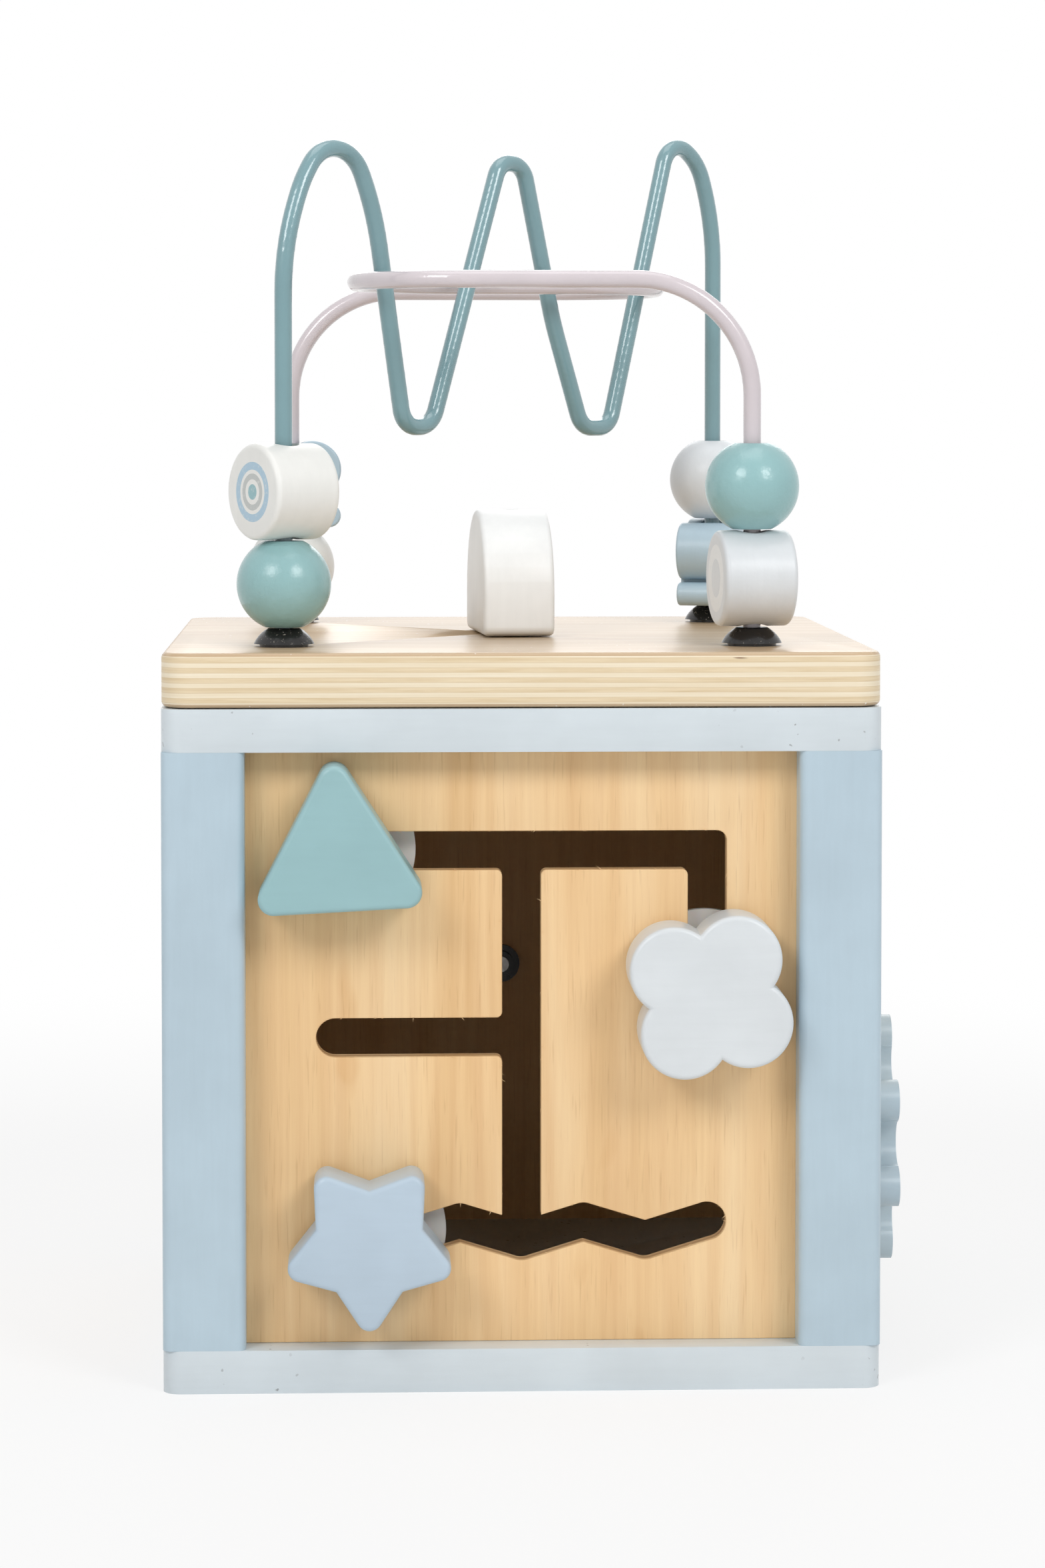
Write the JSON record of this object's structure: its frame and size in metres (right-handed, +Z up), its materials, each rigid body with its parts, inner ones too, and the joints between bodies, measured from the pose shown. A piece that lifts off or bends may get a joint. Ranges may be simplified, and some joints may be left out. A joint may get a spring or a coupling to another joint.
{
  "type": "activity cube",
  "caption": "Wooden activity cube with a slot maze, turning gears, a clock and a lift-off lid with bead wires.",
  "frame": {"origin": "middle of the base's underside", "axes": "+Z up, the maze faces -Y, the gears face +X"},
  "size_m": [0.2095, 0.2111, 0.3572],
  "materials": {
    "mist_paint": "satin paint",
    "sea_paint": "satin paint",
    "birch_ply": "clear matt lacquer",
    "lid_ply": "clear gloss lacquer",
    "teal_paint": "satin paint",
    "pearl_paint": "satin paint",
    "sky_paint": "satin paint",
    "white_paint": "satin paint",
    "cloud_paint": "satin paint",
    "wire_teal": "gloss enamel",
    "wire_rose": "gloss enamel",
    "black_plastic": "moulded",
    "steel": "zinc plated",
    "milk_plastic": "translucent moulded"
  },
  "bodies": {
    "box": {"base": "mist_paint", "post_front_left": "sea_paint", "post_front_right": "sea_paint", "post_back_left": "sea_paint", "post_back_right": "sea_paint", "panel_front": "birch_ply", "panel_right": "birch_ply", "panel_back": "birch_ply", "panel_left": "birch_ply", "top_frame": "mist_paint", "base_screws": "steel", "frame_screws": "steel", "gear_bolts": "steel", "gear_washers": "black_plastic", "gear_spacers": "black_plastic", "clock_bolt": "steel", "clock_washer": "black_plastic", "clock_spacer": "black_plastic"},
    "lid": {"lid": "lid_ply", "lid_plug": "birch_ply", "wire_wave": "wire_teal", "wire_loop": "wire_rose", "wire_bushes": "black_plastic", "wire_caps": "black_plastic", "arch_pin": "steel"},
    "arch": {"arch_block": "white_paint"},
    "ball_fl": {"ball_front_left": "teal_paint"},
    "drum_fl": {"drum_front_left": "white_paint"},
    "drum_fr": {"drum_front_right": "mist_paint"},
    "ball_fr": {"ball_front_right": "teal_paint"},
    "ball_bl": {"ball_back_left": "white_paint"},
    "cloud_bl": {"cloud_back_left": "cloud_paint"},
    "cloud_br": {"cloud_back_right": "cloud_paint"},
    "ball_br": {"ball_back_right": "mist_paint"},
    "triangle_slider": {"slider_triangle": "milk_plastic"},
    "triangle": {"knob_triangle": "teal_paint", "screw_triangle": "steel"},
    "clover_slider": {"slider_clover": "milk_plastic"},
    "clover": {"knob_clover": "pearl_paint", "screw_clover": "steel"},
    "star_slider": {"slider_star": "milk_plastic"},
    "star": {"knob_star": "sky_paint", "screw_star": "steel"},
    "gear_a": {"gear_front": "sky_paint"},
    "gear_b": {"gear_rear": "teal_paint"},
    "hour": {"hand_hour": "teal_paint"},
    "minute": {"hand_minute": "sea_paint"}
  },
  "joints": [
    {"name": "lid_lift", "type": "slide", "parent": "box", "child": "lid", "axis": [0, 0, 1], "range_m": [0, 0.06]},
    {"name": "arch_turn", "type": "hinge", "parent": "lid", "child": "arch", "pos_m": [0, 0, 0.22], "axis": [0, 0, 1], "continuous": true},
    {"name": "ball_fl_spin", "type": "hinge", "parent": "lid", "child": "ball_fl", "pos_m": [-0.0665, -0.0665, 0.223], "axis": [0, 0, 1], "continuous": true},
    {"name": "drum_fr_spin", "type": "hinge", "parent": "lid", "child": "drum_fr", "pos_m": [0.0665, -0.0665, 0.224], "axis": [0, 0, 1], "continuous": true},
    {"name": "ball_bl_spin", "type": "hinge", "parent": "lid", "child": "ball_bl", "pos_m": [-0.0665, 0.0665, 0.223], "axis": [0, 0, 1], "continuous": true},
    {"name": "cloud_br_spin", "type": "hinge", "parent": "lid", "child": "cloud_br", "pos_m": [0.0665, 0.0665, 0.223], "axis": [0, 0, 1], "continuous": true},
    {"name": "drum_fl_slide", "type": "slide", "parent": "lid", "child": "drum_fl", "axis": [0, 0, 1], "range_m": [0, 0.05]},
    {"name": "ball_fr_slide", "type": "slide", "parent": "lid", "child": "ball_fr", "axis": [0, 0, 1], "range_m": [0, 0.013]},
    {"name": "cloud_bl_slide", "type": "slide", "parent": "lid", "child": "cloud_bl", "axis": [0, 0, 1], "range_m": [0, 0.012]},
    {"name": "ball_br_slide", "type": "slide", "parent": "lid", "child": "ball_br", "axis": [0, 0, 1], "range_m": [0, 0.055]},
    {"name": "triangle_slide", "type": "slide", "parent": "box", "child": "triangle_slider", "axis": [1, 0, 0], "range_m": [0, 0.051]},
    {"name": "triangle_turn", "type": "hinge", "parent": "triangle_slider", "child": "triangle", "pos_m": [-0.0511, -0.1, 0.15], "axis": [0, 1, 0], "continuous": true},
    {"name": "clover_slide", "type": "slide", "parent": "box", "child": "clover_slider", "axis": [0, 0, 1], "range_m": [0, 0.039]},
    {"name": "clover_turn", "type": "hinge", "parent": "clover_slider", "child": "clover", "pos_m": [0.0517, -0.1, 0.111], "axis": [0, 1, 0], "continuous": true},
    {"name": "star_slide", "type": "slide", "parent": "box", "child": "star_slider", "axis": [0.9563, 0, -0.2924], "range_m": [-0.0096, 0.0082]},
    {"name": "star_turn", "type": "hinge", "parent": "star_slider", "child": "star", "pos_m": [-0.04264, -0.1, 0.04254], "axis": [0, 1, 0], "continuous": true},
    {"name": "gear_a_turn", "type": "hinge", "parent": "box", "child": "gear_a", "pos_m": [0.1, -0.032, 0.0602], "axis": [1, 0, 0], "continuous": true},
    {"name": "gear_b_turn", "type": "hinge", "parent": "box", "child": "gear_b", "pos_m": [0.1, 0.032, 0.0602], "axis": [1, 0, 0], "continuous": true},
    {"name": "hour_turn", "type": "hinge", "parent": "box", "child": "hour", "pos_m": [0, 0.095, 0.0952], "axis": [0, 1, 0], "continuous": true},
    {"name": "minute_turn", "type": "hinge", "parent": "box", "child": "minute", "pos_m": [0, 0.095, 0.0952], "axis": [0, 1, 0], "continuous": true}
  ],
  "couplings": [
    {"joint": "gear_b_turn", "follows": "gear_a_turn", "ratio": -1}
  ]
}
